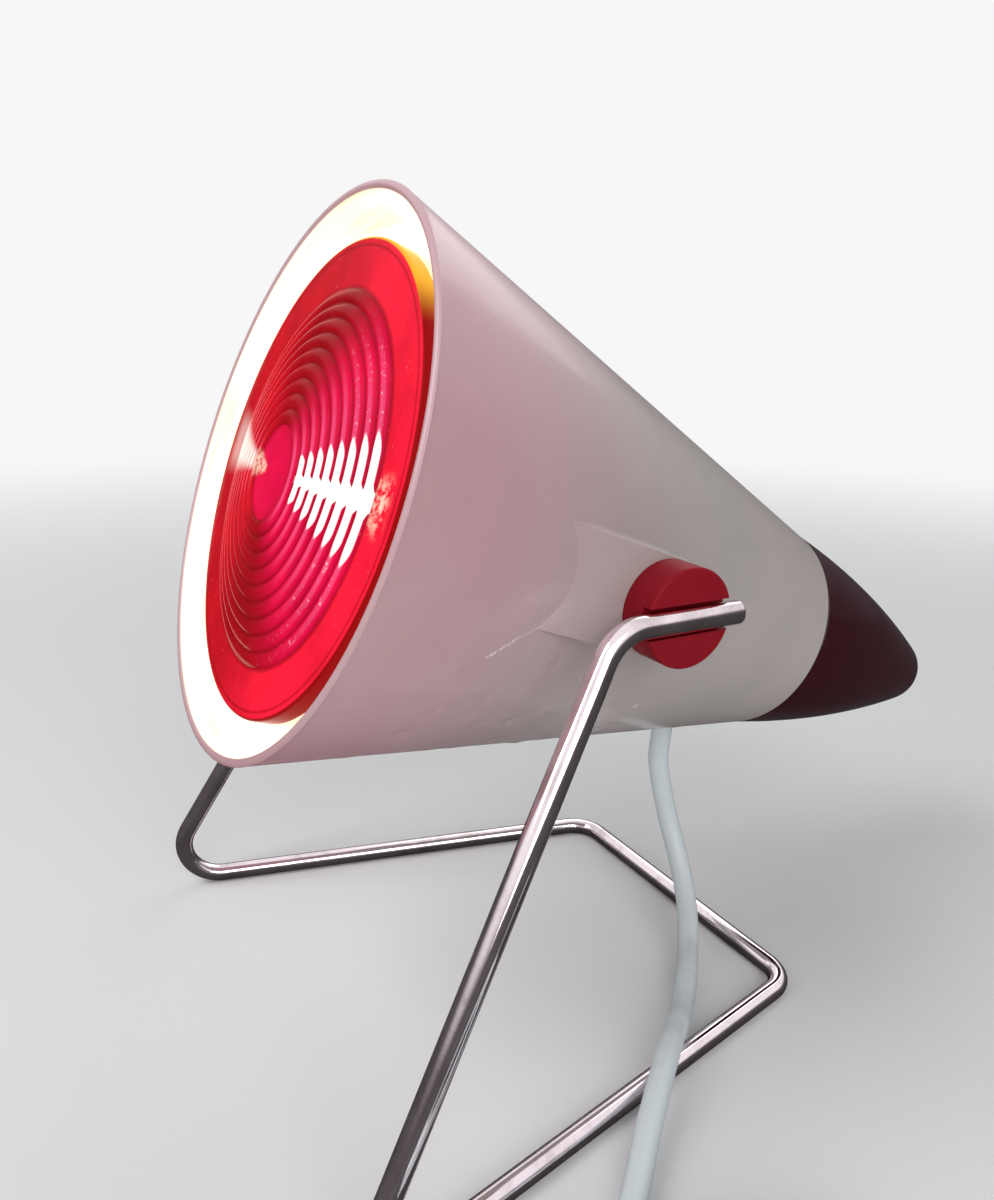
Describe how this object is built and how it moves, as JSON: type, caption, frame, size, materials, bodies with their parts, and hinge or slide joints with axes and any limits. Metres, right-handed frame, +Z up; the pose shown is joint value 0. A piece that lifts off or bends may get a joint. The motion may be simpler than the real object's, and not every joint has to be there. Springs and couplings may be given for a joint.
{
  "type": "infrared heat therapy lamp",
  "caption": "Table-top infrared heat lamp: a conical moulded shade with a screwed-in red reflector bulb, tilting between the sprung ends of a bent wire stand.",
  "frame": {"origin": "on the table, below the middle of the lamp's box without its cord", "axes": "+Z up; the mouth of the shade faces -Y and looks up by 20.6 degrees in the rest pose; +X is the side that the picture shows, where the cord leaves"},
  "size_m": [0.3295, 0.2711, 0.2299],
  "materials": {
    "chrome_wire": "bright plated",
    "knob_red": "satin",
    "fibre": "matt",
    "spring_steel": "satin",
    "screw_steel": "zinc plated",
    "shade_white": "gloss",
    "cap_maroon": "gloss",
    "porcelain": "glazed",
    "brass": "stamped",
    "lead_brown": "satin",
    "lead_blue": "satin",
    "cord_white": "satin",
    "clamp_grey": "matt",
    "lens_red": "ruby glass, ribbed",
    "reflector_silver": "silvered inside",
    "bulb_nickel": "nickel plated",
    "bulb_black": "glassy black",
    "solder": "dull",
    "filament": "glowing",
    "plug_white": "satin",
    "pin_nickel": "nickel plated"
  },
  "bodies": {
    "stand": {"wire_stand": "chrome_wire", "knob_right": "knob_red", "friction_washer_right": "fibre", "disc_spring_right": "spring_steel", "retaining_washer_right": "screw_steel", "pivot_screw_right": "screw_steel", "knob_left": "knob_red", "friction_washer_left": "fibre", "disc_spring_left": "spring_steel", "retaining_washer_left": "screw_steel", "pivot_screw_left": "screw_steel", "cord": "cord_white", "cord_coil": "cord_white", "cord_tail": "cord_white", "cord_tie": "clamp_grey", "plug_boot": "plug_white", "plug_body": "plug_white", "plug_pin_live": "pin_nickel", "plug_pin_neutral": "pin_nickel"},
    "head": {"shade": "shade_white", "rear_cap": "cap_maroon", "lamp_holder": "porcelain", "screw_sleeve": "brass", "centre_contact": "brass", "holder_bracket": "screw_steel", "bracket_screws": "screw_steel", "holder_screws": "screw_steel", "terminal_screws": "brass", "lead_live": "lead_brown", "lead_neutral": "lead_blue", "cord_bush": "plug_white", "cord_inner_end": "cord_white", "cord_clamp": "clamp_grey", "clamp_screws": "screw_steel"},
    "bulb": {"bulb_lens": "lens_red", "bulb_reflector": "reflector_silver", "bulb_screw_shell": "bulb_nickel", "bulb_insulator": "bulb_black", "bulb_contact": "solder", "bulb_filament": "filament", "filament_supports": "bulb_nickel"}
  },
  "joints": [
    {"name": "head_tilt", "type": "hinge", "parent": "stand", "child": "head", "pos_m": [0, -0.03706, 0.135], "axis": [1, 0, 0], "range_deg": [-22, 110], "deforming": ["cord"]},
    {"name": "bulb_release", "type": "slide", "parent": "head", "child": "bulb", "axis": [0, -0.9361, 0.3518], "range_m": [0, 0.028]}
  ]
}
